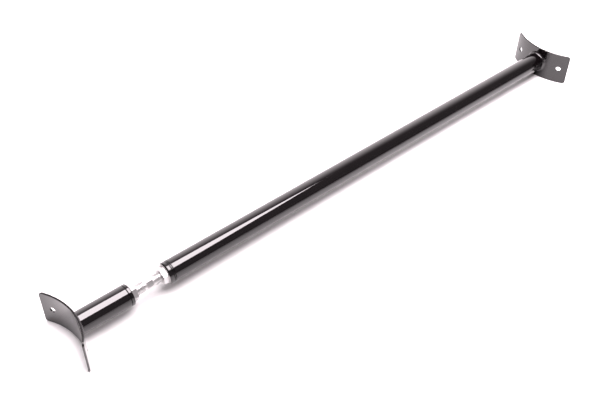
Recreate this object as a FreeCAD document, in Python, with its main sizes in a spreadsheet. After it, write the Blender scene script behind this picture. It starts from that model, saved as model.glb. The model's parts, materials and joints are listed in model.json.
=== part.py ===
"""Adjustable pull-up bar that spans two round posts.

Two steel tubes lie on one line and are joined by a screw adjuster. Each tube carries a curved saddle
plate at its outer end and a threaded bush at its inner end. The stud between the bushes has opposite
threads, so turning it makes the bar longer or shorter, and a jam nut at each bush locks it.

Frame: +X runs along the bar towards the main saddle, +Z is up, and the origin is under the middle of
the bar, on the plane that the lower edges of the saddles rest on. Each end is modelled in its own end
frame: the origin is where the post touches the saddle, and +x points along the bar, away from the post.
"""
import FreeCAD, Part
import os
import Sketcher

DIMENSIONS = [
    ("bar_span", 1000.0, "between the faces of the two posts"),
    ("seat_radius", 102.0, "inner radius of a saddle, which rests on the post"),
    ("plate_thickness", 3.0, "saddle plate"),
    ("plate_height", 58.0, "saddle plate, along the post"),
    ("plate_half_angle", 34.5, "half of the arc that a saddle covers, degrees"),
    ("plate_corner", 5.0, "rounded corner of a saddle"),
    ("hole_diameter", 9.0, "clearance hole for an 8 mm bolt"),
    ("hole_angle", 25.0, "angle of each bolt hole from the bar, degrees"),
    ("tube_diameter", 33.7, "outside of both tubes"),
    ("tube_wall", 2.6, "wall of both tubes"),
    ("short_tube_end", 80.0, "inner end of the short tube, from its post"),
    ("main_tube_end", 845.3, "inner end of the main tube, from its post"),
    ("weld_leg", 3.5, "fillet weld between a tube and its saddle"),
    ("bush_length", 30.0, "whole threaded bush"),
    ("short_flange", 5.0, "flange of the short tube's bush"),
    ("main_flange", 6.4, "flange of the main tube's bush"),
    ("short_root_gap", 1.2, "welded gap between the short tube and its bush flange"),
    ("main_root_gap", 3.8, "welded gap between the main tube and its bush flange"),
    ("weld_sink", 0.5, "how far a bush weld lies below the surface of the tube"),
    ("bush_chamfer_depth", 1.2, "outer edge of a bush flange, towards the axis"),
    ("short_bush_chamfer", 1.2, "the same edge along the bar, on the short tube's bush"),
    ("main_bush_chamfer", 2.4, "the same edge along the bar, on the main tube's bush"),
    ("thread_diameter", 16.0, "outside of the stud's threads"),
    ("thread_clearance", 0.06, "radial, between the stud and its bushes and nuts"),
    ("stud_length", 140.0, "whole stud"),
    ("stud_offset", 1.3, "middle of the stud past the middle of the gap, towards the main tube"),
    ("stud_chamfer", 1.5, "ends of the stud"),
    ("flats_length", 11.0, "spanner flats, along the stud"),
    ("flats_across", 13.0, "spanner flats, side to side"),
    ("flats_turn", -33.0, "turn of the spanner flats about the bar, degrees"),
    ("nut_across", 24.0, "jam nut, side to side"),
    ("nut_thickness", 8.0, "jam nut"),
    ("nut_chamfer_radius", 12.4, "where the corner chamfer of a nut meets its face"),
    ("nut_chamfer_depth", 0.84, "depth of that chamfer at a corner"),
    ("short_nut_turn", -33.0, "turn of the short jam nut about the bar, degrees"),
    ("main_nut_turn", 0.0, "turn of the main jam nut about the bar, degrees"),
]

DERIVED = [
    ("plate_outer_radius", "seat_radius + plate_thickness"),
    ("axis_height", "plate_height / 2"),
    ("tube_radius", "tube_diameter / 2"),
    ("tube_bore", "tube_diameter - 2 * tube_wall"),
    ("short_face", "short_tube_end + short_root_gap + short_flange"),
    ("main_face", "main_tube_end + main_root_gap + main_flange"),
    ("thread_bore", "thread_diameter + 2 * thread_clearance"),
    ("gap_middle", "(short_face - main_face) / 2"),
    ("nut_corner_radius", "nut_across / sqrt(3)"),
]

CELL_NAMES = {row[0] for row in DIMENSIONS + DERIVED}

X_AXIS = FreeCAD.Vector(1, 0, 0)
Y_AXIS = FreeCAD.Vector(0, 1, 0)
Z_AXIS = FreeCAD.Vector(0, 0, 1)

doc = FreeCAD.newDocument("pull_up_bar")
sheet = doc.addObject("Spreadsheet::Sheet", "params")


def fill_sheet():
    """Write the driving dimensions, then the ones worked out from them."""
    row = 1
    for alias, value, note in DIMENSIONS:
        sheet.set(f"A{row}", alias)
        sheet.set(f"B{row}", str(value))
        sheet.setAlias(f"B{row}", alias)
        sheet.set(f"C{row}", note)
        row += 1
    for alias, formula in DERIVED:
        sheet.set(f"A{row}", alias)
        sheet.set(f"B{row}", "=" + formula)
        sheet.setAlias(f"B{row}", alias)
        row += 1
    doc.recompute()


def sheet_formula(formula):
    """The formula with each cell's name written the way an expression needs it."""
    return " ".join("params." + word if word in CELL_NAMES else word for word in formula.split())


def bind(target, path, formula):
    """Tie a property to a formula whose names are cells of the sheet."""
    target.setExpression(path, sheet_formula(formula))


def make_body(label):
    """One sub-part, which is modelled in its end frame and placed later."""
    body = doc.addObject("PartDesign::Body", label)
    body.Label = label
    return body


def origin_plane(body, role):
    return next(feature for feature in body.Origin.OriginFeatures if feature.Role == role)


def add_sketch(body, role):
    """A sketch on one of the body's own origin planes."""
    sketch = body.newObject("Sketcher::SketchObject", body.Name + "_sketch")
    sketch.AttachmentSupport = (origin_plane(body, role), "")
    sketch.MapMode = "FlatFace"
    return sketch


def add_size(sketch, kind, places, formula):
    """A dimension of the sketch that follows a formula of sheet cells."""
    value = float(sketch.evalExpression(sheet_formula(formula)))
    index = sketch.addConstraint(Sketcher.Constraint(kind, *places, value))
    bind(sketch, f"Constraints[{index}]", formula)


def add_circle(sketch, diameter):
    """A circle about the sketch's origin."""
    circle = sketch.addGeometry(Part.Circle(FreeCAD.Vector(), Z_AXIS, 5.0))
    sketch.addConstraint(Sketcher.Constraint("Coincident", circle, 3, -1, 1))
    add_size(sketch, "Diameter", [circle], diameter)
    return circle


def add_polygon(sketch, corners):
    """A closed outline whose corners are pairs of formulas, measured from the sketch's origin."""
    start = [FreeCAD.Vector(10.0 + 3.0 * i, 10.0 + 2.0 * i * i, 0) for i in range(len(corners))]
    lines = [
        sketch.addGeometry(Part.LineSegment(start[i], start[(i + 1) % len(start)]))
        for i in range(len(start))
    ]
    for i, line in enumerate(lines):
        sketch.addConstraint(Sketcher.Constraint("Coincident", line, 2, lines[(i + 1) % len(lines)], 1))
        add_size(sketch, "DistanceX", [-1, 1, line, 1], corners[i][0])
        add_size(sketch, "DistanceY", [-1, 1, line, 1], corners[i][1])


def pad(body, sketch, length, midplane=False):
    feature = body.newObject("PartDesign::Pad", body.Name + "_pad")
    feature.Profile = sketch
    feature.SideType = "Symmetric" if midplane else "One side"
    bind(feature, "Length", length)
    return feature


def cut_through(body, sketch):
    """Cut the sketch's outline right through the body, both ways."""
    feature = body.newObject("PartDesign::Pocket", body.Name + "_cut")
    feature.Profile = sketch
    feature.SideType = "Symmetric"
    feature.Type = "ThroughAll"
    return feature


def revolve(body, sketch, kind="PartDesign::Revolution"):
    """Turn the sketch about the bar's axis."""
    feature = body.newObject(kind, body.Name + "_turned")
    feature.Profile = sketch
    feature.ReferenceAxis = (sketch, ["H_Axis"])
    feature.Angle = 360.0
    return feature


def trim_to_saddle(body):
    """Cut the end of a tube or weld to the round back of the saddle plate."""
    sketch = add_sketch(body, "XY_Plane")
    circle = sketch.addGeometry(Part.Circle(FreeCAD.Vector(-100.0, 0, 0), Z_AXIS, 100.0))
    sketch.addConstraint(Sketcher.Constraint("PointOnObject", circle, 3, -1))
    add_size(sketch, "DistanceX", [circle, 3, -1, 1], "seat_radius")
    add_size(sketch, "Radius", [circle], "plate_outer_radius")
    cut_through(body, sketch)


def place(body, end, along="0", turn=None):
    """Put a sub-part on the bar's axis, by its distance from the post at its own end.

    The main end is turned half a turn about Z, so that its frame also points away from its post.
    """
    side = -1 if end == "short" else 1
    if end == "main":
        body.Placement = FreeCAD.Placement(FreeCAD.Vector(), FreeCAD.Rotation(Z_AXIS, 180.0))
    if turn is not None:
        body.Placement = FreeCAD.Placement(FreeCAD.Vector(), FreeCAD.Rotation(X_AXIS, 1.0))
        bind(body, "Placement.Rotation.Angle", turn)
    bind(body, "Placement.Base.x", f"{side} * ( bar_span / 2 - ( {along} ) )")
    bind(body, "Placement.Base.z", "axis_height")


def make_saddle(end):
    """Curved plate that wraps a round post: an arc band with rounded corners and two radial holes."""
    body = make_body(end + "_saddle")
    sketch = add_sketch(body, "XY_Plane")
    low, high = -0.58, 0.58
    inner = sketch.addGeometry(Part.ArcOfCircle(Part.Circle(FreeCAD.Vector(), Z_AXIS, 100.0), low, high))
    outer = sketch.addGeometry(Part.ArcOfCircle(Part.Circle(FreeCAD.Vector(), Z_AXIS, 104.0), low, high))
    for arc, radius in ((inner, "seat_radius"), (outer, "plate_outer_radius")):
        sketch.addConstraint(Sketcher.Constraint("Coincident", arc, 3, -1, 1))
        add_size(sketch, "Radius", [arc], radius)
    for point in (1, 2):
        ends = [sketch.getPoint(inner, point), sketch.getPoint(outer, point)]
        line = sketch.addGeometry(Part.LineSegment(*ends))
        sketch.addConstraint(Sketcher.Constraint("Coincident", line, 1, inner, point))
        sketch.addConstraint(Sketcher.Constraint("Coincident", line, 2, outer, point))
        sketch.addConstraint(Sketcher.Constraint("PointOnObject", -1, 1, line))
    sketch.addConstraint(Sketcher.Constraint("Symmetric", outer, 1, outer, 2, -1))
    add_size(sketch, "DistanceY", [outer, 1, outer, 2], "2 * plate_outer_radius * sin( plate_half_angle )")
    pad(body, sketch, "plate_height", midplane=True)
    doc.recompute()
    round_corners(body)
    drill_holes(body)
    place(body, end, "-1 * seat_radius")
    return body


def round_corners(body):
    """Round the four corners of a saddle, on the short edges that run through the plate."""
    plate = body.Tip
    short_edges = []
    for number, edge in enumerate(plate.Shape.Edges, 1):
        runs_through = abs(edge.Length - sheet.plate_thickness) < 0.01
        if runs_through:
            short_edges.append(f"Edge{number}")
    fillet = body.newObject("PartDesign::Fillet", body.Name + "_corners")
    fillet.Base = (plate, short_edges)
    bind(fillet, "Radius", "plate_corner")
    doc.recompute()


def drill_holes(body):
    """One radial hole in each wing of a saddle."""
    for side in (-1, 1):
        sketch = add_sketch(body, "YZ_Plane")
        sketch.AttachmentOffset = FreeCAD.Placement(FreeCAD.Vector(), FreeCAD.Rotation(Y_AXIS, 1.0))
        bind(sketch, "AttachmentOffset.Rotation.Angle", f"{side} * hole_angle")
        add_circle(sketch, "hole_diameter")
        cut_through(body, sketch)


def make_tube(end):
    """Straight tube, trimmed to the saddle at one end and square at the other."""
    body = make_body(end + "_tube")
    sketch = add_sketch(body, "YZ_Plane")
    add_circle(sketch, "tube_diameter")
    add_circle(sketch, "tube_bore")
    pad(body, sketch, end + "_tube_end")
    trim_to_saddle(body)
    place(body, end)
    return body


def make_saddle_weld(end):
    """Fillet weld round the tube, where it meets the saddle."""
    body = make_body(end + "_saddle_weld")
    sketch = add_sketch(body, "XZ_Plane")
    corners = [
        ("0", "tube_radius"),
        ("plate_thickness + weld_leg", "tube_radius"),
        ("plate_thickness", "tube_radius + weld_leg"),
        ("0", "tube_radius + weld_leg"),
    ]
    add_polygon(sketch, corners)
    revolve(body, sketch)
    trim_to_saddle(body)
    place(body, end)
    return body


def make_bush(end):
    """Turned bush: a flange as wide as the tube, a spigot inside the tube, and the threaded bore."""
    body = make_body(end + "_bush")
    flange = end + "_flange"
    corners = [
        ("0", "thread_bore / 2"),
        ("0", "tube_radius - bush_chamfer_depth"),
        (f"-1 * {end}_bush_chamfer", "tube_radius"),
        (f"-1 * {flange}", "tube_radius"),
        (f"-1 * {flange}", "tube_bore / 2"),
        ("-1 * bush_length", "tube_bore / 2"),
        ("-1 * bush_length", "thread_bore / 2"),
    ]
    sketch = add_sketch(body, "XZ_Plane")
    add_polygon(sketch, corners)
    revolve(body, sketch)
    place(body, end, end + "_face")
    return body


def make_bush_weld(end):
    """Ring of weld in the gap between the tube and the bush flange."""
    body = make_body(end + "_bush_weld")
    sketch = add_sketch(body, "XZ_Plane")
    corners = [
        ("0", "tube_bore / 2"),
        (end + "_root_gap", "tube_bore / 2"),
        (end + "_root_gap", "tube_radius - weld_sink"),
        ("0", "tube_radius - weld_sink"),
    ]
    add_polygon(sketch, corners)
    revolve(body, sketch)
    place(body, end, end + "_tube_end")
    return body


def make_jam_nut(end):
    """Thin hex nut with turned corners, against the bush flange."""
    body = make_body(end + "_jam_nut")
    sketch = add_sketch(body, "YZ_Plane")
    add_circle(sketch, "thread_bore")
    add_hexagon(sketch)
    pad(body, sketch, "nut_thickness", midplane=True)
    doc.recompute()
    for side in (-1, 1):
        chamfer = add_sketch(body, "XZ_Plane")
        corners = [
            (f"{side} * nut_thickness / 2", "nut_chamfer_radius"),
            (f"{side} * nut_thickness / 2", "2 * nut_corner_radius - nut_chamfer_radius"),
            (
                f"{side} * ( nut_thickness / 2 - 2 * nut_chamfer_depth )",
                "2 * nut_corner_radius - nut_chamfer_radius",
            ),
        ]
        add_polygon(chamfer, corners)
        revolve(body, chamfer, "PartDesign::Groove")
    place(body, end, f"{end}_face + nut_thickness / 2", turn=end + "_nut_turn")
    return body


def add_hexagon(sketch):
    """A hexagon about the origin, with two corners on the sketch's vertical axis."""
    corner = [FreeCAD.Vector(0, 14.0, 0)]
    for _ in range(5):
        corner.append(FreeCAD.Rotation(Z_AXIS, 60.0).multVec(corner[-1]))
    lines = [sketch.addGeometry(Part.LineSegment(corner[i], corner[(i + 1) % 6])) for i in range(6)]
    guide = sketch.addGeometry(Part.Circle(FreeCAD.Vector(), Z_AXIS, 14.0), True)
    sketch.addConstraint(Sketcher.Constraint("Coincident", guide, 3, -1, 1))
    for i, line in enumerate(lines):
        sketch.addConstraint(Sketcher.Constraint("Coincident", line, 2, lines[(i + 1) % 6], 1))
        sketch.addConstraint(Sketcher.Constraint("PointOnObject", line, 1, guide))
        if i:
            sketch.addConstraint(Sketcher.Constraint("Equal", lines[0], line))
    sketch.addConstraint(Sketcher.Constraint("PointOnObject", lines[0], 1, -2))
    add_size(sketch, "Radius", [guide], "nut_corner_radius")


def make_stud():
    """Stud with opposite threads, chamfered ends and two spanner flats in the middle."""
    body = make_body("adjuster_stud")
    sketch = add_sketch(body, "YZ_Plane")
    add_circle(sketch, "thread_diameter")
    rod = pad(body, sketch, "stud_length", midplane=True)
    doc.recompute()
    chamfer = body.newObject("PartDesign::Chamfer", "adjuster_stud_ends")
    rims = [f"Edge{n}" for n, edge in enumerate(rod.Shape.Edges, 1) if edge.Closed]
    chamfer.Base = (rod, rims)
    bind(chamfer, "Size", "stud_chamfer")
    doc.recompute()
    for side in (-1, 1):
        flat = add_sketch(body, "XY_Plane")
        corners = [
            ("-1 * flats_length / 2", f"{side} * flats_across / 2"),
            ("flats_length / 2", f"{side} * flats_across / 2"),
            ("flats_length / 2", f"{side} * thread_diameter"),
            ("-1 * flats_length / 2", f"{side} * thread_diameter"),
        ]
        add_polygon(flat, corners)
        cut_through(body, flat)
    place(body, "short", "bar_span / 2 + gap_middle + stud_offset", turn="flats_turn")
    return body


def check_and_export(bodies):
    """Stop on any failed feature, then write each sub-part to its own STEP file."""
    doc.recompute()
    for item in doc.Objects:
        if "Invalid" in item.State or "Error" in item.State:
            raise RuntimeError(f"{item.Label} failed: {item.State}")
    os.makedirs("parts", exist_ok=True)
    for body in bodies:
        shape = body.Shape
        if shape.isNull() or not shape.isValid():
            raise RuntimeError(f"{body.Label} has no valid shape")
        if len(shape.Solids) != 1:
            raise RuntimeError(f"{body.Label} has {len(shape.Solids)} solids")
        shape.exportStep(f"parts/{body.Label}.step")
        box = shape.BoundBox
        print(
            f"{body.Label:18s} {shape.Volume:10.1f} mm3"
            f"  x {box.XMin:8.2f} {box.XMax:8.2f}  y {box.YMin:7.2f} {box.YMax:7.2f}"
            f"  z {box.ZMin:6.2f} {box.ZMax:6.2f}"
        )


fill_sheet()
parts = []
for end in ("short", "main"):
    parts += [
        make_saddle(end),
        make_saddle_weld(end),
        make_tube(end),
        make_bush_weld(end),
        make_bush(end),
        make_jam_nut(end),
    ]
parts.append(make_stud())
check_and_export(parts)
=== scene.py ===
import json
import math

import bmesh
import bpy
import numpy as np
from mathutils import Matrix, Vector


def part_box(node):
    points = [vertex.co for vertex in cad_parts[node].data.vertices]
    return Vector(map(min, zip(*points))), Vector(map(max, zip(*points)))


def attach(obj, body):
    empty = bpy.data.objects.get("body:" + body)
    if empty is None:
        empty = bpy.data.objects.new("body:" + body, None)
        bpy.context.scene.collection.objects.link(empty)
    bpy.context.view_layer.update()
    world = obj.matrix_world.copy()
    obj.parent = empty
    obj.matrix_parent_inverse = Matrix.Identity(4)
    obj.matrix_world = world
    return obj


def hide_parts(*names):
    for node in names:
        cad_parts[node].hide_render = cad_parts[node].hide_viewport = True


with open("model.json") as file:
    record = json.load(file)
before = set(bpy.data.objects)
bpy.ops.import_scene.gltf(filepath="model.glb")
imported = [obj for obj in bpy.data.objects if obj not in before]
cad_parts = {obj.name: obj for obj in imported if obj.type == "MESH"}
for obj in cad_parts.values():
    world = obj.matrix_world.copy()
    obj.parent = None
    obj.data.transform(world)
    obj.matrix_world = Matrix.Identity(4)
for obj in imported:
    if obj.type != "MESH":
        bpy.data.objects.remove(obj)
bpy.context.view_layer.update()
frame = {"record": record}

MM = 0.001

# ---------------------------------------------------------------------------------------------
# Sizes, in metres. The frame gives the places, and what it can't give is named here. x runs along
# the bar, y across it and z up. "short" is the end at -x and "main" is the end at +x.
# ---------------------------------------------------------------------------------------------
ENDS = {"short": -1, "main": 1}
MOUNTS = {mount["name"]: mount for mount in frame["record"]["mounts"]}
HOLE = MOUNTS["main_front_bolt_hole"]
TUBE_LOW, TUBE_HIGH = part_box("main_tube")
SADDLE_LOW, SADDLE_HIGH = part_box("main_saddle")
STUD_LOW, STUD_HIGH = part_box("adjuster_stud")
NUT_LOW, NUT_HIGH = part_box("main_jam_nut")

# Tube: 33.7 mm pipe, whose sawn ends have their edges rounded by TUBE_EDGE.
AXIS_Z = (TUBE_LOW.z + TUBE_HIGH.z) / 2
TUBE_R = (TUBE_HIGH.z - TUBE_LOW.z) / 2
TUBE_WALL = 2.6 * MM
TUBE_BORE_R = TUBE_R - TUBE_WALL
TUBE_EDGE = 0.35 * MM

# Saddle: a plate bent round the post. Its half angle, at the post's middle, is half of what it covers.
SEAT_X = MOUNTS["main_post_seat"]["pos_m"][0]
SEAT_R = 102 * MM
PLATE_T = HOLE["dims"]["length_mm"] * MM
PLATE_H = SADDLE_HIGH.z - SADDLE_LOW.z
PLATE_HALF_ANGLE = math.radians(34.5)
PLATE_CORNER = 5 * MM
PLATE_EDGE = 0.5 * MM
HOLE_R = HOLE["dims"]["r_mm"] * MM
HOLE_ANGLE = math.atan2(abs(HOLE["axis"][1]), abs(HOLE["axis"][0]))

# Fillet weld of the saddle. WELD_HOLLOW is a share of the leg, and WELD_SINK buries the two toes.
WELD_LEG = 3.5 * MM
WELD_HOLLOW = 0.2
WELD_RIPPLE = 0.25 * MM
WELD_RIPPLE_COUNT = 40
WELD_RIPPLE_LAG = 1.6
WELD_SINK = 0.1 * MM

# Bush, and the weld ring that holds it in the tube. A flange's chamfer has one depth towards the axis, and
# a length of its own along the bar.
BUSH_CHAMFER_DEPTH = 1.2 * MM
BUSH_CHAMFERS = {"short": 1.2 * MM, "main": 2.4 * MM}
BUSH_MOUTH = 1 * MM
BUSH_EDGE = 0.2 * MM
RING_NOTCH_WIDTH = 1.4 * MM
RING_NOTCH_DEPTH = 1.1 * MM
RING_BELOW_TUBE = 0.1 * MM
RING_RIPPLE = 0.12 * MM
RING_RIPPLE_COUNT = 44
RING_RIPPLE_LAG = 1.5

# Stud: M16, with two spanner flats in the middle and a plain stretch beside them. A thread's root and
# crest flats are shares of its pitch.
THREAD_R = (STUD_HIGH.z - STUD_LOW.z) / 2
THREAD_PITCH = 2 * MM
THREAD_DEPTH = 1.227 * MM
THREAD_ROOT_FLAT = 1 / 4
THREAD_CREST_FLAT = 1 / 8
BORE_R = THREAD_R + 0.06 * MM
STUD_CHAMFER = 1.5 * MM
FLATS_HALF_LENGTH = 5.5 * MM
FLATS_HALF_ACROSS = 6.5 * MM
FLATS_TURN = math.radians(-33)
PLAIN_HALF_LENGTH = FLATS_HALF_LENGTH + 2.2 * MM

# Jam nut: a thin hexagon with its corners turned off at 30 degrees.
NUT_HALF_ACROSS = (NUT_HIGH.y - NUT_LOW.y) / 2
NUT_CHAMFER_R = 12.4 * MM
NUT_CHAMFER_SLOPE = math.tan(math.radians(30))
NUT_EDGE = 0.25 * MM
NUT_ROUNDING = 0.18 * MM
NUT_MOUTH = 0.9 * MM
NUT_CORNER_SHARPNESS = 70
NUT_TURNS = {"short": math.radians(-33), "main": 0.0}


# ---------------------------------------------------------------------------------------------
# Surfaces
# ---------------------------------------------------------------------------------------------
def grid_faces(rows, columns, close_rows=False, close_columns=False):
    """Quads of a grid of points numbered row by row.

    A closed direction joins its last line of points to its first.
    """
    row = np.arange(rows if close_rows else rows - 1)
    column = np.arange(columns if close_columns else columns - 1)
    row, column = (part.ravel() for part in np.meshgrid(row, column, indexing="ij"))
    next_row, next_column = (row + 1) % rows, (column + 1) % columns
    corners = [(row, column), (next_row, column), (next_row, next_column), (row, next_column)]
    return np.stack([r * columns + c for r, c in corners], axis=1)


def round_angles(count):
    """Evenly spaced angles once round the bar's axis."""
    return np.linspace(0, 2 * math.pi, count, endpoint=False)


def ring_points(x, radius, angle):
    """Points at distance radius from the bar's axis: y is radius times cosine, z is radius times sine."""
    x, radius, angle = np.broadcast_arrays(x, radius, angle)
    return np.stack([x, radius * np.cos(angle), AXIS_Z + radius * np.sin(angle)], axis=-1)


def softened(corners, radius):
    """A closed outline with its corners rounded.

    Each corner P between neighbours A and B becomes the curve (1-t)^2 p + 2t(1-t) P + t^2 q, where p and q
    lie a radius from P towards A and B, or less where a side is short. A guard point a little further out
    on each side keeps the flat stretches flat. corners has one row for each corner, and any number of
    outlines side by side.
    """
    most_of_side, guard, steps = 0.3, 1.35, 5
    corners = np.asarray(corners, float)
    before = np.roll(corners, 1, axis=0) - corners
    after = np.roll(corners, -1, axis=0) - corners
    length_before = np.linalg.norm(before, axis=-1, keepdims=True)
    length_after = np.linalg.norm(after, axis=-1, keepdims=True)
    cut = np.minimum(radius, most_of_side * np.minimum(length_before, length_after))
    to_start = before / length_before * cut
    to_end = after / length_after * cut
    start, end = corners + to_start, corners + to_end
    lines = [corners + to_start * guard]
    for t in np.linspace(0, 1, steps):
        lines.append((1 - t) ** 2 * start + 2 * t * (1 - t) * corners + t**2 * end)
    lines.append(corners + to_end * guard)
    return np.stack(lines, axis=1).reshape(-1, *corners.shape[1:])


def lathe(outline, columns):
    """Turn a closed outline of (x, radius) pairs about the bar's axis.

    Point by point, y is radius times the cosine of the angle and z is radius times its sine. The outline
    may differ from column to column.
    """
    angle = round_angles(columns)
    if outline.ndim == 2:
        outline = np.repeat(outline[:, None], columns, axis=1)
    points = ring_points(outline[..., 0], outline[..., 1], angle[None])
    return points.reshape(-1, 3), grid_faces(outline.shape[0], columns, True, True)


def outward(points, faces):
    """The faces, turned over if the volume that they enclose comes out negative."""
    a, b, c, d = (points[faces[:, i]] for i in range(4))
    volume = np.sum(a * np.cross(b, c)) + np.sum(a * np.cross(c, d))
    return faces if volume > 0 else faces[:, ::-1]


def reach_of(node, end):
    """Least and greatest distance of a CAD node from the post at an end of the bar."""
    low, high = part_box(node)
    return sorted(SEAT_X - ENDS[end] * x for x in (low.x, high.x))


def at_end(points, end):
    """From an end's own frame, with x as the distance from its post, to the bar's frame."""
    placed = points.copy()
    placed[:, 0] = ENDS[end] * (SEAT_X - points[:, 0])
    return placed


def add_piece(name, points, faces, materials, body, bare=None):
    """A smooth closed mesh that stands for the CAD node of the same name.

    A face that names one point twice is a triangle. bare picks the faces that get the second material.
    """
    faces = outward(points, faces)
    mesh = bpy.data.meshes.new(name + "_mesh")
    mesh.from_pydata(points.tolist(), [], [list(dict.fromkeys(face)) for face in faces.tolist()])
    for material in materials:
        mesh.materials.append(material)
    if bare is not None:
        mesh.polygons.foreach_set("material_index", bare(points, faces).astype(np.int32))
    shell = bmesh.new()
    shell.from_mesh(mesh)
    bmesh.ops.remove_doubles(shell, verts=shell.verts, dist=1e-7)
    bmesh.ops.dissolve_degenerate(shell, edges=shell.edges, dist=1e-8)
    shell.to_mesh(mesh)
    shell.free()
    mesh.polygons.foreach_set("use_smooth", np.ones(len(mesh.polygons), bool))
    mesh.update()
    piece = bpy.data.objects.new(name + "_piece", mesh)
    bpy.context.scene.collection.objects.link(piece)
    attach(piece, body)
    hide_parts(name)


# ---------------------------------------------------------------------------------------------
# Saddles
# ---------------------------------------------------------------------------------------------
# The plate is laid out flat first: arc is the way along it and height is the way up, both from its centre.
MIDDLE_R = SEAT_R + PLATE_T / 2
WING_ARC = MIDDLE_R * PLATE_HALF_ANGLE
HOLE_ARC = MIDDLE_R * HOLE_ANGLE
WING_START = 22 * MM
CLOSE_LINE = 0.15 * MM
# How far from the hole to the wing's outline each ring of points lies: closest together by the two edges.
RING_SHARES = np.array([0, 0.01, 0.05, 0.13, 0.27, 0.45, 0.63, 0.8, 0.92, 0.985, 1])


def plate_points(arc, height, depth):
    """Roll the flat plate round the post.

    The angle is the arc over the plate's middle radius, and depth adds to that radius.
    """
    angle = arc / MIDDLE_R
    radius = MIDDLE_R + depth
    return np.stack([radius * np.cos(angle) - SEAT_R, radius * np.sin(angle), AXIS_Z + height], axis=-1)


def even_and_tight(low, high, count):
    """Evenly spaced values with one more close to each end."""
    close = CLOSE_LINE * np.sign(high - low)
    return np.concatenate([[low, low + close], np.linspace(low, high, count)[1:-1], [high - close, high]])


def wing_outline(inset):
    """Outline of one wing, from its lower inner corner round the tip to its upper inner corner.

    Straight runs joined by two arcs: an arc's point is its centre plus the corner radius times the cosine
    and sine of the turn. inset moves the whole outline inwards.
    """
    edge, top, corner = WING_ARC - inset, PLATE_H / 2 - inset, PLATE_CORNER - inset
    centre = np.array([WING_ARC - PLATE_CORNER, PLATE_H / 2 - PLATE_CORNER])
    along = np.linspace(WING_START, centre[0], 14)
    up = np.linspace(-centre[1], centre[1], 16)
    turn = np.linspace(0, math.pi / 2, 9)[1:-1]
    arc = np.stack([centre[0] + corner * np.cos(turn), centre[1] + corner * np.sin(turn)], axis=1)
    lower = np.stack([along, np.full_like(along, -top)], axis=1)
    tip = np.stack([np.full_like(up, edge), up], axis=1)
    upper = np.stack([along[::-1], np.full_like(along, top)], axis=1)
    return np.concatenate([lower, (arc * [1, -1])[::-1], tip, arc, upper])


def rim_strip(inner, outer):
    """The rounded edge of the plate between its two faces.

    A quarter circle leads from each face to the rim: the way out is the edge radius times the sine of the
    turn, and the depth below the face is the edge radius times one minus its cosine. A guard line beside
    each quarter circle keeps the rim flat between them.
    """
    turn = np.linspace(0, math.pi / 2, 5)
    out = np.concatenate([np.sin(turn), [1.0], [1.0], np.sin(turn)[::-1]])
    half = PLATE_T / 2
    quarter = half - PLATE_EDGE * (1 - np.cos(turn))
    guard = half - PLATE_EDGE * 1.3
    depth = np.concatenate([quarter, [guard], [-guard], -quarter[::-1]])
    flat = inner[None] + (outer - inner)[None] * out[:, None, None]
    return flat, np.broadcast_to(depth[:, None], flat.shape[:2])


def wing_sheets(inner_heights, mirror):
    """Both faces of one wing, its outer rim and the rim of its hole; mirror is -1 for the wing at -y.

    A face is a grid of rings: each point is the hole's point plus a share of the way to the outline's.
    """
    outline = wing_outline(PLATE_EDGE)
    inner_edge = np.stack([np.full(len(inner_heights) - 2, WING_START), inner_heights[1:-1]], axis=1)
    loop = np.concatenate([outline, inner_edge])
    bearing = np.arctan2(loop[:, 1], loop[:, 0] - HOLE_ARC)
    unit = np.stack([np.cos(bearing), np.sin(bearing)], axis=1)
    circle = [HOLE_ARC, 0] + (HOLE_R + PLATE_EDGE) * unit
    hole = [HOLE_ARC, 0] + HOLE_R * unit
    share = RING_SHARES[:, None, None]
    wing = circle[None] * (1 - share) + loop[None] * share
    side = np.array([mirror, 1])
    depth = np.full(wing.shape[:2], PLATE_T / 2)
    outer_rim = rim_strip(outline * side, wing_outline(0) * side)
    hole_rim = rim_strip(circle * side, hole * side)
    return [
        (wing * side, depth, True, mirror),
        (wing * side, -depth, True, -mirror),
        (*outer_rim, False, mirror),
        (*hole_rim, True, -mirror),
    ]


def middle_sheets(inner_heights):
    """Both faces of the stretch between the wings, with its upper and lower rims."""
    arcs = np.linspace(-WING_START, WING_START, 25)
    middle = np.stack(np.meshgrid(arcs, inner_heights), axis=-1)
    depth = np.full(middle.shape[:2], PLATE_T / 2)
    sheets = [(middle, depth, False, 1), (middle, -depth, False, -1)]
    for up in (1, -1):
        inner = np.stack([arcs, np.full_like(arcs, up * (PLATE_H / 2 - PLATE_EDGE))], axis=1)
        sheets.append((*rim_strip(inner, inner + [0, up * PLATE_EDGE]), False, -up))
    return sheets


def make_saddle(end, paint):
    """The bent plate, sheet by sheet.

    A sheet is a grid of (arc, height), its depths, whether it closes on itself, and which way round its
    faces run: 1 or -1.
    """
    top = PLATE_H / 2 - PLATE_EDGE
    inner_heights = even_and_tight(top, -top, 14)
    sheets = wing_sheets(inner_heights, 1) + wing_sheets(inner_heights, -1) + middle_sheets(inner_heights)
    points, faces, count = [], [], 0
    for flat, depth, closed, way in sheets:
        points.append(plate_points(flat[..., 0], flat[..., 1], depth).reshape(-1, 3))
        faces.append(grid_faces(*flat.shape[:2], close_columns=closed)[:, ::way] + count)
        count += len(points[-1])
    points, faces = np.concatenate(points), np.concatenate(faces)
    add_piece(end + "_saddle", at_end(points, end), faces, [paint], end + "_bar")


# ---------------------------------------------------------------------------------------------
# Tubes, bushes and welds
# ---------------------------------------------------------------------------------------------
def back_of_saddle(y):
    """Distance from the post at which the round back of the plate lies, y to the side of the bar."""
    outer = SEAT_R + PLATE_T
    return np.sqrt(outer**2 - y**2) - SEAT_R


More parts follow.
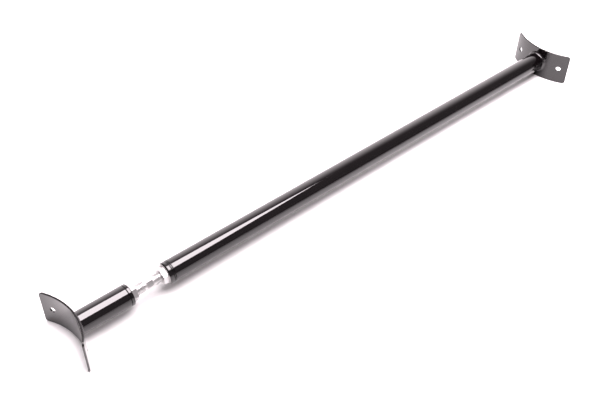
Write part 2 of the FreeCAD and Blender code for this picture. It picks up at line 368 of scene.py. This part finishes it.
def make_tube(end, paint):
    """Tube whose outer end follows the back of the saddle and whose inner end is square."""
    length = reach_of(end + "_tube", end)[1]
    columns = 160
    angle = round_angles(columns)
    radii = np.array([TUBE_R, TUBE_R, TUBE_BORE_R, TUBE_BORE_R])[:, None] * np.ones(columns)
    ends = np.stack([back_of_saddle(TUBE_R * np.cos(angle)), np.full(columns, length)])
    corners = np.stack([ends[[0, 1, 1, 0]], radii], axis=-1)
    points, faces = lathe(softened(corners, TUBE_EDGE), columns)
    add_piece(end + "_tube", at_end(points, end), faces, [paint], end + "_bar")


def weld_ripple(count, lag, angle, t):
    """Ripples round a weld: the size, without its sign, of the sine of half a phase.

    The phase is the count times the angle, plus a lag that grows towards both toes, t = 0 and t = 1, and
    bows the ripples.
    """
    return np.abs(np.sin(0.5 * (count * angle + lag * (1 - 2 * t) ** 2)))


def make_saddle_weld(end, paint):
    """Fillet weld between the tube and the saddle.

    Its section runs from a toe on the plate to a toe on the tube and is hollow by a parabola, 4t(1-t),
    which also carries the ripples. The leg wanders by 5% and 3% as two sines round the tube. The rest of
    the section is hidden in the tube's wall and in the plate.
    """
    columns = 360
    angle = round_angles(columns)[None]
    t = np.linspace(0, 1, 13)[:, None]
    leg = WELD_LEG * (1 + 0.05 * np.sin(5 * angle + 1.0) + 0.03 * np.sin(11 * angle))
    plate_toe = TUBE_R + leg
    toe_x = back_of_saddle(plate_toe * np.cos(angle)) - WELD_SINK
    root_x = back_of_saddle(TUBE_R * np.cos(angle))
    ripple = weld_ripple(WELD_RIPPLE_COUNT, WELD_RIPPLE_LAG, angle, t)
    swell = 4 * t * (1 - t) * (WELD_RIPPLE * ripple - WELD_HOLLOW * leg)
    x = toe_x * (1 - t) + (root_x + leg) * t + swell * math.sqrt(0.5)
    radius = plate_toe * (1 - t) + (TUBE_R - WELD_SINK) * t + swell * math.sqrt(0.5)
    in_wall, in_plate, from_toe = 0.5 * MM, 0.3 * MM, 1 * MM
    hidden_x = np.concatenate([root_x + in_wall, root_x - in_wall, toe_x - in_plate])
    hidden_radius = np.concatenate([np.full((2, columns), TUBE_R - in_wall), plate_toe - from_toe])
    outline = np.stack([np.concatenate([x, hidden_x]), np.concatenate([radius, hidden_radius])], axis=-1)
    points, faces = lathe(outline, columns)
    add_piece(end + "_saddle_weld", at_end(points, end), faces, [paint], end + "_bar")


def make_bush(end, paint, steel):
    """Turned bush: painted flange, bare end face, spigot inside the tube and a bore for the stud."""
    back, face = reach_of(end + "_bush", end)
    flange = reach_of(end + "_bush_weld", end)[1]
    corners = [
        (face, BORE_R + BUSH_MOUTH),
        (face, TUBE_R - BUSH_CHAMFER_DEPTH),
        (face - BUSH_CHAMFERS[end], TUBE_R),
        (flange, TUBE_R),
        (flange, TUBE_BORE_R),
        (back, TUBE_BORE_R),
        (back, BORE_R),
        (face - BUSH_MOUTH, BORE_R),
    ]
    points, faces = lathe(softened(corners, BUSH_EDGE), columns=160)

    def bare_faces(placed, quads):
        """The end face, the mouth of the bore and the bore itself, which the paint doesn't reach."""
        flush = 0.02 * MM
        centre = placed[quads].mean(axis=1)
        away = np.hypot(centre[:, 1], centre[:, 2] - AXIS_Z)
        depth = face - (SEAT_X - ENDS[end] * centre[:, 0])
        return (depth < flush) | (away < BORE_R + BUSH_MOUTH)

    placed = at_end(points, end)
    add_piece(end + "_bush", placed, faces, [paint, steel], end + "_bar", bare_faces)


def make_bush_weld(end, paint):
    """Weld ring between the tube and the bush flange.

    A V notch follows each toe: its depth falls off in proportion to the distance from its middle. Between
    the notches lies a crown, whose ripples grow in proportion to the distance from its edges. A gap no
    wider than one notch is one notch. The ring's inner side lies just over the bush's spigot.
    """
    start, stop = reach_of(end + "_bush_weld", end)
    width = stop - start
    notch = min(RING_NOTCH_WIDTH, width)
    columns = 320
    angle = round_angles(columns)[None]
    t = np.linspace(0, 1, 53)[:, None]
    from_toe = width * np.minimum(t, 1 - t)
    fall = np.clip(1 - np.abs(2 * from_toe / notch - 1), 0, 1)
    crown = np.clip((from_toe - notch) / (width / 2 - notch), 0, 1) if width > 2 * notch else 0 * t
    ripple = weld_ripple(RING_RIPPLE_COUNT, RING_RIPPLE_LAG, angle, t)
    radius = TUBE_R - RING_BELOW_TUBE - RING_NOTCH_DEPTH * fall + crown * RING_RIPPLE * (ripple - 0.5)
    x = np.broadcast_to(start + width * t, radius.shape)
    hidden_x = np.stack([np.full(columns, stop), np.full(columns, start)])
    over_spigot = 0.2 * MM
    hidden_radius = np.full((2, columns), TUBE_BORE_R + over_spigot)
    outline = np.stack([np.concatenate([x, hidden_x]), np.concatenate([radius, hidden_radius])], axis=-1)
    points, faces = lathe(outline, columns)
    add_piece(end + "_bush_weld", at_end(points, end), faces, [paint], end + "_bar")


# ---------------------------------------------------------------------------------------------
# Nuts and stud
# ---------------------------------------------------------------------------------------------
def hexagon_radius(angle):
    """Radius of a hexagon whose corners are a little round.

    Each flat lies at half the width over the cosine of the angle from its middle. The six are joined by
    the root of their cosines' summed powers, which is close to the largest one and smooth at the corners.
    """
    cosines = np.stack([np.cos(angle - i * math.pi / 3) for i in range(6)])
    powers = np.clip(cosines, 0, None) ** NUT_CORNER_SHARPNESS
    return NUT_HALF_ACROSS / np.sum(powers, axis=0) ** (1 / NUT_CORNER_SHARPNESS)


def make_jam_nut(end, zinc):
    """Hexagon nut, as the outline of a ring at each angle.

    It runs up the face, along the turned chamfer and the flat, down the other face and back through the
    bore. The chamfer's length along the bar is its cut times the tangent of 30 degrees.
    """
    low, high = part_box(end + "_jam_nut")
    # Degrees from the middle of a flat, closest together by its corners.
    spots = np.radians([-30, -29.3, -28.5, -27.5, -26, -23, -16, -8, 0, 8, 16, 23, 26, 27.5, 28.5, 29.3])
    angle = (spots[None] + np.arange(6)[:, None] * math.pi / 3).ravel()
    side = hexagon_radius(angle)
    cut = np.maximum(side - NUT_CHAMFER_R, NUT_EDGE)
    chamfer = cut * NUT_CHAMFER_SLOPE
    corners = [
        (low.x, BORE_R + NUT_MOUTH),
        (low.x, side - cut),
        (low.x + chamfer, side),
        (high.x - chamfer, side),
        (high.x, side - cut),
        (high.x, BORE_R + NUT_MOUTH),
        (high.x - NUT_MOUTH, BORE_R),
        (low.x + NUT_MOUTH, BORE_R),
    ]
    corners = [np.stack(np.broadcast_arrays(x, radius, side)[:2], axis=-1) for x, radius in corners]
    outline = softened(np.stack(corners), NUT_ROUNDING)
    points = ring_points(outline[..., 0], outline[..., 1], angle[None] + NUT_TURNS[end]).reshape(-1, 3)
    faces = grid_faces(outline.shape[0], len(angle), True, True)
    add_piece(end + "_jam_nut", points, faces, [zinc], end + "_nut")


def stud_radius(x, angle, half):
    """Radius of the stud, x along the bar from its middle: the least of thread, flats and end chamfer.

    The thread's depth is a V notch, flat at crest and root, of the phase: x over the pitch, less the angle
    over a turn, which counts the other way round on the short side. It fades out over the pitch next to
    the plain stretch. The flats lie at half their width over the cosine of the angle from their normal,
    which is kept off zero.
    """
    cut_short = 0.05 * MM
    phase = (x / THREAD_PITCH - np.sign(x) * angle / (2 * math.pi)) % 1
    slope = 1 - THREAD_ROOT_FLAT - THREAD_CREST_FLAT
    notch = 1 - np.clip((np.abs(2 * phase - 1) - THREAD_ROOT_FLAT) / slope, 0, 1)
    fade = np.clip((np.abs(x) - PLAIN_HALF_LENGTH) / THREAD_PITCH, 0, 1)
    radius = THREAD_R - THREAD_DEPTH * notch * fade * np.sqrt(3 * fade - 2 * fade**2)
    flats = FLATS_HALF_ACROSS / np.maximum(np.abs(np.cos(angle - FLATS_TURN)), 0.1)
    radius = np.where(np.abs(x) < FLATS_HALF_LENGTH - cut_short, np.minimum(radius, flats), radius)
    return np.minimum(radius, THREAD_R - STUD_CHAMFER + (half - np.abs(x)))


def make_stud(zinc):
    """Stud with a left-hand thread on the short side of its flats and a right-hand thread on the other.

    Rings of points run along it, twelve to a pitch in the threads and close together at the flats'
    shoulders. A ring of triangles closes each end on a pole.
    """
    middle = (STUD_LOW.x + STUD_HIGH.x) / 2
    half = (STUD_HIGH.x - STUD_LOW.x) / 2
    shoulders = FLATS_HALF_LENGTH + np.array([-0.12, 0, 0.12]) * MM
    threaded = np.arange(PLAIN_HALF_LENGTH, half, THREAD_PITCH / 12)
    right = np.concatenate([[0, 3 * MM], shoulders, threaded, [half]])
    x = np.unique(np.round(np.concatenate([-right, right]), 9))[:, None]
    columns = 72
    angle = round_angles(columns)[None] + FLATS_TURN
    rings = ring_points(middle + x, stud_radius(x, angle, half), angle).reshape(-1, 3)
    poles = [[middle - half, 0, AXIS_Z], [middle + half, 0, AXIS_Z]]
    around = np.arange(columns)
    beside = (around + 1) % columns
    last_ring = (len(x) - 1) * columns
    pole = np.full(columns, len(rings))
    first_cap = np.stack([around, beside, pole, pole], axis=1)
    last_cap = np.stack([last_ring + beside, last_ring + around, pole + 1, pole + 1], axis=1)
    faces = np.concatenate([grid_faces(len(x), columns, close_columns=True), first_cap, last_cap])
    add_piece("adjuster_stud", np.concatenate([rings, poles]), faces, [zinc], "stud")


# ---------------------------------------------------------------------------------------------
# Materials
# ---------------------------------------------------------------------------------------------
def linear(hex_colour):
    """An sRGB hex value as linear red, green, blue and alpha."""
    values = np.array([int(hex_colour[i : i + 2], 16) for i in (1, 3, 5)]) / 255
    values = np.where(values <= 0.04045, values / 12.92, ((values + 0.055) / 1.055) ** 2.4)
    return (*values.tolist(), 1.0)


def add(tree, kind, inputs=None, **settings):
    """Add a node, set its settings, and fill its sockets with values or links."""
    item = tree.nodes.new(kind)
    for key, value in settings.items():
        setattr(item, key, value)
    for socket, value in (inputs or {}).items():
        if isinstance(value, bpy.types.NodeSocket):
            tree.links.new(value, item.inputs[socket])
        else:
            item.inputs[socket].default_value = value
    return item


def new_material(name):
    """An empty node material and its tree."""
    material = bpy.data.materials.new(name)
    material.use_nodes = True
    material.node_tree.nodes.clear()
    return material, material.node_tree


def finish_material(tree, surface):
    """Join a surface shader to the material's output."""
    add(tree, "ShaderNodeOutputMaterial", {"Surface": surface.outputs["BSDF"]})


def enamel(name, peel_mm, peel_height_mm, smoothest, roughest):
    """Stoving enamel, sprayed on steel and baked hard.

    The eye sees near-black with sharp reflections. Its orange peel is 1 to 2 mm across and at most about a
    hundredth of a millimetre high, and its slower waves are 14 mm across: both bend the reflections a
    little. Patches of fine dust, 30 mm across, dull them slightly.
    """
    material, tree = new_material(name)
    where = add(tree, "ShaderNodeTexCoord").outputs["Object"]
    peel = add(tree, "ShaderNodeTexNoise", {"Vector": where, "Scale": 1 / (peel_mm * MM), "Detail": 1.5})
    flow = add(tree, "ShaderNodeTexNoise", {"Vector": where, "Scale": 1 / (14 * MM), "Detail": 1.0})
    dust = add(tree, "ShaderNodeTexNoise", {"Vector": where, "Scale": 1 / (30 * MM), "Detail": 5.0})
    dusty = dust.outputs["Fac"]
    rough = add(
        tree,
        "ShaderNodeMapRange",
        {"Value": dusty, "From Min": 0.3, "From Max": 0.75, "To Min": smoothest, "To Max": roughest},
    )
    tone = add(
        tree,
        "ShaderNodeMix",
        {"Factor": dusty, "A": linear("#060405"), "B": linear("#0a0708")},
        data_type="RGBA",
    )
    wave = add(
        tree, "ShaderNodeBump", {"Height": flow.outputs["Fac"], "Strength": 1.0, "Distance": 0.012 * MM}
    )
    skin = add(
        tree,
        "ShaderNodeBump",
        {
            "Height": peel.outputs["Fac"],
            "Strength": 1.0,
            "Distance": peel_height_mm * MM,
            "Normal": wave.outputs["Normal"],
        },
    )
    surface = add(
        tree,
        "ShaderNodeBsdfPrincipled",
        {
            "Base Color": tone.outputs["Result"],
            "Roughness": rough.outputs["Result"],
            "IOR": 1.6,
            "Normal": skin.outputs["Normal"],
        },
    )
    finish_material(tree, surface)
    return material


def zinc_plate():
    """Bright zinc, plated on turned and rolled steel.

    The eye sees soft silvery reflections that cloud over in patches of 6 mm. The plating's own grain is
    well under 0.1 mm, too fine to show, so it is drawn coarser, at 0.35 mm.
    """
    material, tree = new_material("bright_zinc_plate_on_rolled_steel")
    where = add(tree, "ShaderNodeTexCoord").outputs["Object"]
    cloud = add(tree, "ShaderNodeTexNoise", {"Vector": where, "Scale": 1 / (6 * MM), "Detail": 3.0})
    grain = add(tree, "ShaderNodeTexNoise", {"Vector": where, "Scale": 1 / (0.35 * MM), "Detail": 2.0})
    cloudy = cloud.outputs["Fac"]
    tone = add(
        tree,
        "ShaderNodeMix",
        {"Factor": cloudy, "A": linear("#d0cfcf"), "B": linear("#bcbbbb")},
        data_type="RGBA",
    )
    rough = add(
        tree,
        "ShaderNodeMapRange",
        {"Value": cloudy, "From Min": 0.3, "From Max": 0.7, "To Min": 0.34, "To Max": 0.46},
    )
    bump = add(
        tree, "ShaderNodeBump", {"Height": grain.outputs["Fac"], "Strength": 0.6, "Distance": 0.01 * MM}
    )
    surface = add(
        tree,
        "ShaderNodeBsdfPrincipled",
        {
            "Base Color": tone.outputs["Result"],
            "Metallic": 1.0,
            "Roughness": rough.outputs["Result"],
            "Normal": bump.outputs["Normal"],
        },
    )
    finish_material(tree, surface)
    return material


def turned_steel():
    """Bare steel, left by a lathe tool on the end face of a bush.

    The eye sees a grey metal whose rings round the bar's axis spread its reflections. The tool's feed is
    about 0.1 mm a turn, too fine to show, so the rings are drawn coarser, 0.4 mm apart.
    """
    material, tree = new_material("bare_turned_steel")
    where = add(tree, "ShaderNodeTexCoord").outputs["Object"]
    centred = add(
        tree, "ShaderNodeMapping", {"Vector": where, "Location": (0, 0, -AXIS_Z), "Scale": (0, 1, 1)}
    )
    away = add(tree, "ShaderNodeVectorMath", {0: centred.outputs["Vector"]}, operation="LENGTH")
    rings_a_metre = 1 / (0.4 * MM)
    turns = add(
        tree,
        "ShaderNodeMath",
        {0: away.outputs["Value"], 1: 2 * math.pi * rings_a_metre},
        operation="MULTIPLY",
    )
    groove = add(tree, "ShaderNodeMath", {0: turns.outputs["Value"]}, operation="SINE")
    bump = add(tree, "ShaderNodeBump", {"Height": groove.outputs["Value"], "Distance": 0.004 * MM})
    cloud = add(tree, "ShaderNodeTexNoise", {"Vector": where, "Scale": 1 / (5 * MM), "Detail": 3.0})
    tone = add(
        tree,
        "ShaderNodeMix",
        {"Factor": cloud.outputs["Fac"], "A": linear("#c6c4c3"), "B": linear("#b2b0b0")},
        data_type="RGBA",
    )
    surface = add(
        tree,
        "ShaderNodeBsdfPrincipled",
        {
            "Base Color": tone.outputs["Result"],
            "Metallic": 1.0,
            "Roughness": 0.3,
            "Normal": bump.outputs["Normal"],
        },
    )
    finish_material(tree, surface)
    return material


# ---------------------------------------------------------------------------------------------
# Studio
# ---------------------------------------------------------------------------------------------
LAMP_COLOUR = linear("#fff5f9")

# Paper tones by their place along the bar, in metres. They are painted shade and light, not the paper's
# own colour: greyer beside the adjuster to deepen the shadows there, whiter at both ends and towards the
# main end to stand in for more light.
PAINTED_SHADE_PAPER_TONES = [
    (-0.6, "#f6f6f6"),
    (-0.53, "#f6f6f6"),
    (-0.47, "#d4d4d4"),
    (-0.33, "#d0d0d0"),
    (0.1, "#ececec"),
    (0.6, "#f6f6f6"),
]


def flat_panel(name, outline, z, material):
    """A flat face of the studio at a height, which isn't part of the bar."""
    mesh = bpy.data.meshes.new(name + "_mesh")
    mesh.from_pydata([(x, y, z) for x, y in outline], [], [list(range(len(outline)))])
    mesh.materials.append(material)
    panel = bpy.data.objects.new(name, mesh)
    bpy.context.scene.collection.objects.link(panel)
    return panel


def make_floor():
    """Paper sweep with painted shade: whitest at both ends of the bar, greyer beside its adjuster and in
    front of it, tones that stand in for light and shade rather than the paper's colour.
    """
    material, tree = new_material("white_sweep_paper_with_painted_shade")
    where = add(tree, "ShaderNodeTexCoord").outputs["Object"]
    place = add(tree, "ShaderNodeSeparateXYZ", {"Vector": where})
    first, last = PAINTED_SHADE_PAPER_TONES[0][0], PAINTED_SHADE_PAPER_TONES[-1][0]
    along = add(
        tree, "ShaderNodeMapRange", {"Value": place.outputs["X"], "From Min": first, "From Max": last}
    )
    # Painted shade and light along the bar: the paper's tone follows its place in x.
    painted_shade_tones = add(tree, "ShaderNodeValToRGB", {"Fac": along.outputs["Result"]})
    stops = painted_shade_tones.color_ramp.elements
    stops[0].color = linear(PAINTED_SHADE_PAPER_TONES[0][1])
    stops[1].color = linear(PAINTED_SHADE_PAPER_TONES[-1][1])
    for x, tone in PAINTED_SHADE_PAPER_TONES[1:-1]:
        stops.new((x - first) / (last - first)).color = linear(tone)
    # Painted shade: the paper greys towards the camera's side, standing in for light that falls off there.
    painted_front_shade = add(
        tree,
        "ShaderNodeMapRange",
        {"Value": place.outputs["Y"], "From Min": -0.22, "From Max": -0.1},
        interpolation_type="SMOOTHSTEP",
    )
    tone = add(
        tree,
        "ShaderNodeMix",
        {"Factor": painted_front_shade.outputs["Result"], "A": linear("#a9a9a9"), "B": painted_shade_tones.outputs["Color"]},
        data_type="RGBA",
    )
    surface = add(
        tree, "ShaderNodeBsdfPrincipled", {"Base Color": tone.outputs["Result"], "Roughness": 0.8}
    )
    finish_material(tree, surface)
    reach, just_under = 12.0, -0.2 * MM
    corners = [(-reach, -reach), (reach, -reach), (reach, reach), (-reach, reach)]
    flat_panel("floor", corners, just_under, material)


def make_softbox():
    """Large overhead softbox, whose edge is what ends the bright stripe along the tube."""
    material, tree = new_material("softbox_cloth")
    glow = add(tree, "ShaderNodeEmission", {"Color": LAMP_COLOUR, "Strength": 16.5})
    add(tree, "ShaderNodeOutputMaterial", {"Surface": glow.outputs["Emission"]})
    height = 2.03
    outline = [(-0.7, 0.92), (0.03, 0.92), (0.5, 0.46), (1.12, -0.25), (0.59, -1.12), (-0.7, -1.12)]
    panel = flat_panel("softbox", outline, height, material)
    panel.visible_camera = False


def make_world():
    """A white sweep beyond the bar's main end, which fades with height and towards the camera's side."""
    world = bpy.data.worlds.new("studio")
    bpy.context.scene.world = world
    world.use_nodes = True
    tree = world.node_tree
    tree.nodes.clear()
    where = add(tree, "ShaderNodeTexCoord").outputs["Generated"]
    brightest_way = (1.15, 1.0, -0.3)
    towards = add(tree, "ShaderNodeVectorMath", {0: where, 1: brightest_way}, operation="DOT_PRODUCT")
    level = add(
        tree,
        "ShaderNodeMapRange",
        {
            "Value": towards.outputs["Value"],
            "From Min": 0.25,
            "From Max": 1.35,
            "To Min": 0.22,
            "To Max": 3.1,
        },
        interpolation_type="SMOOTHSTEP",
    )
    sky = add(tree, "ShaderNodeBackground", {"Color": LAMP_COLOUR, "Strength": level.outputs["Result"]})
    add(tree, "ShaderNodeOutputWorld", {"Surface": sky.outputs["Background"]})


def make_camera():
    """Camera above the short end, looking along the bar and down at it."""
    place = (-0.7507, -0.7374, 0.9284)
    heading, dip, lean = math.radians(48.575), math.radians(42.697), math.radians(0.929)
    level = np.array([math.cos(heading), math.sin(heading), 0])
    forward = math.cos(dip) * level - math.sin(dip) * np.array([0, 0, 1])
    right = np.array([math.sin(heading), -math.cos(heading), 0])
    up = np.cross(right, forward)
    leaning_right = right * math.cos(lean) + up * math.sin(lean)
    leaning_up = up * math.cos(lean) - right * math.sin(lean)
    pose = np.eye(4)
    pose[:3, :3] = np.stack([leaning_right, leaning_up, -forward], axis=1)
    pose[:3, 3] = place
    data = bpy.data.cameras.new("camera")
    data.sensor_width = 36
    data.lens = 50.81
    camera = bpy.data.objects.new("camera", data)
    bpy.context.scene.collection.objects.link(camera)
    camera.matrix_world = Matrix(pose.tolist())
    bpy.context.scene.camera = camera


# ---------------------------------------------------------------------------------------------
# The bar
# ---------------------------------------------------------------------------------------------
make_camera()
make_floor()
make_softbox()
make_world()
bpy.context.scene.view_settings.view_transform = "Standard"

paint = enamel(
    "gloss_black_stoving_enamel", peel_mm=1.8, peel_height_mm=0.004, smoothest=0.035, roughest=0.075
)
# Over a weld the peel is finer and higher, and the gloss is lower.
weld_paint = enamel(
    "gloss_black_enamel_over_weld", peel_mm=0.9, peel_height_mm=0.012, smoothest=0.09, roughest=0.16
)
zinc = zinc_plate()
steel = turned_steel()
for end in ENDS:
    make_saddle(end, paint)
    make_saddle_weld(end, weld_paint)
    make_tube(end, paint)
    make_bush_weld(end, paint)
    make_bush(end, paint, steel)
    make_jam_nut(end, zinc)
make_stud(zinc)
